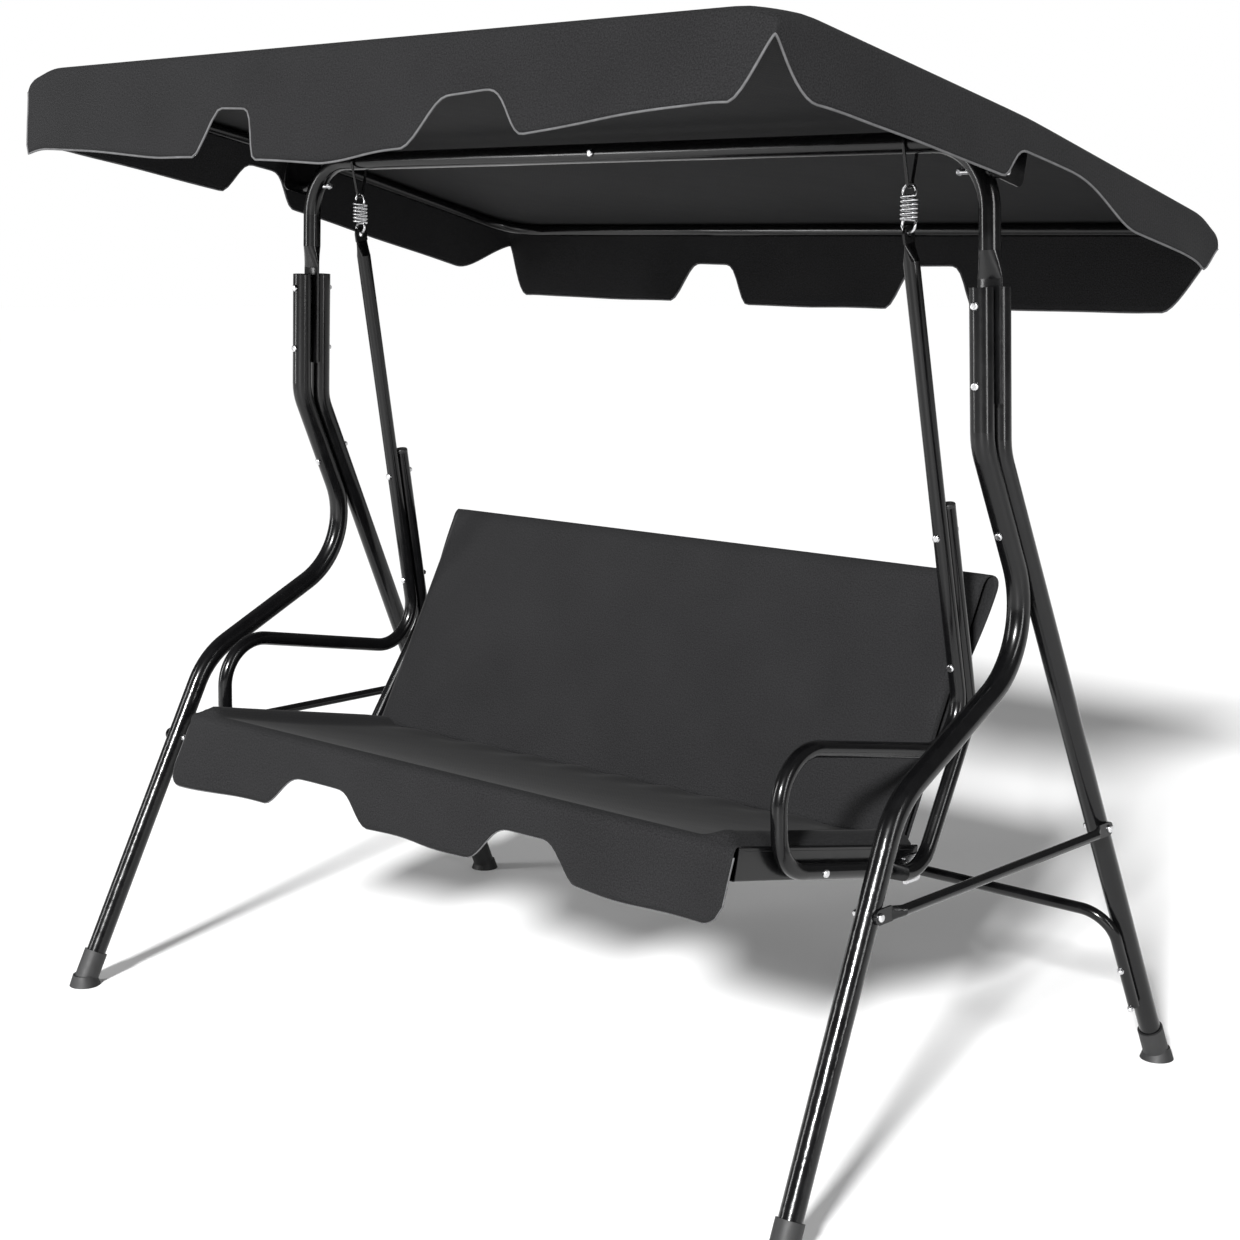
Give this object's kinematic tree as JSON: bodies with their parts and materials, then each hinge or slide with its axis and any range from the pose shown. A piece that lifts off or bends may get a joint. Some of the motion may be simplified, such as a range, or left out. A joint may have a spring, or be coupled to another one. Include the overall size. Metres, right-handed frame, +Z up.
{
  "type": "canopy swing seat",
  "caption": "Free-standing patio glider swing: a fabric bench with tube armrests hangs on springs from a bent-tube stand, under a tilting fabric canopy with a scalloped edge.",
  "frame": {"origin": "on the floor, midway between the two side frames and directly below the top crossbar's axis", "axes": "+Z up; +X along the crossbar, to the right as seen by someone facing the seat; -Y is the way the sitters face"},
  "size_m": [1.6786, 1.1706, 1.6328],
  "materials": {
    "frame_paint": "glossy black powder coat",
    "hook_wire": "glossy black paint",
    "zinc": "bright zinc plating",
    "foot_rubber": "satin",
    "plug_plastic": "satin",
    "seat_fabric": "woven, charcoal",
    "canopy_fabric": "woven, charcoal, coated"
  },
  "bodies": {
    "stand": {"brace_bolts": "zinc", "canopy_pivot_bolts": "zinc", "crossbar_bolt": "zinc", "front_foot_left": "foot_rubber", "front_foot_right": "foot_rubber", "front_leg_left": "frame_paint", "front_leg_right": "frame_paint", "leg_bolts": "zinc", "rear_foot_left": "foot_rubber", "rear_foot_right": "foot_rubber", "rear_leg_left": "frame_paint", "rear_leg_right": "frame_paint", "rear_stretcher": "frame_paint", "side_brace_left": "frame_paint", "side_brace_right": "frame_paint", "stretcher_bolts": "zinc", "top_crossbar_left": "frame_paint", "top_crossbar_right": "frame_paint"},
    "hooks": {"hook_left": "hook_wire", "hook_right": "hook_wire", "spring_left": "zinc", "spring_right": "zinc"},
    "seat": {"arm_bolts": "zinc", "backrest_cover": "seat_fabric", "backrest_frame": "frame_paint", "bracket_bolts": "zinc", "corner_bracket_left": "zinc", "corner_bracket_right": "zinc", "hanger_arm_left": "frame_paint", "hanger_arm_right": "frame_paint", "seat_cover": "seat_fabric", "seat_front_bar": "frame_paint", "seat_rear_bar": "frame_paint", "seat_side_bar_left": "frame_paint", "seat_side_bar_right": "frame_paint", "seat_valance": "seat_fabric", "upright_bolts": "zinc", "upright_left": "frame_paint", "upright_plugs": "plug_plastic", "upright_right": "frame_paint"},
    "canopy": {"canopy_bolts": "zinc", "canopy_front_frame": "frame_paint", "canopy_plate_left": "frame_paint", "canopy_plate_right": "frame_paint", "canopy_rear_frame": "frame_paint", "canopy_top": "canopy_fabric", "canopy_valance_front": "canopy_fabric", "canopy_valance_left": "canopy_fabric", "canopy_valance_rear": "canopy_fabric", "canopy_valance_right": "canopy_fabric"}
  },
  "joints": [
    {"name": "seat_swing", "type": "hinge", "parent": "stand", "child": "hooks", "pos_m": [0, 0, 1.489], "axis": [1, 0, 0], "range_deg": [-20, 20]},
    {"name": "spring_bounce", "type": "slide", "parent": "hooks", "child": "seat", "axis": [0, 0, 1], "range_m": [-0.03, 0], "stiffness_N_per_m": 69000, "springref_m": 0.004, "deforming": ["spring_left", "spring_right"]},
    {"name": "canopy_tilt", "type": "hinge", "parent": "stand", "child": "canopy", "pos_m": [0, 0, 1.446], "axis": [1, 0, 0], "range_deg": [-7, 30]}
  ]
}
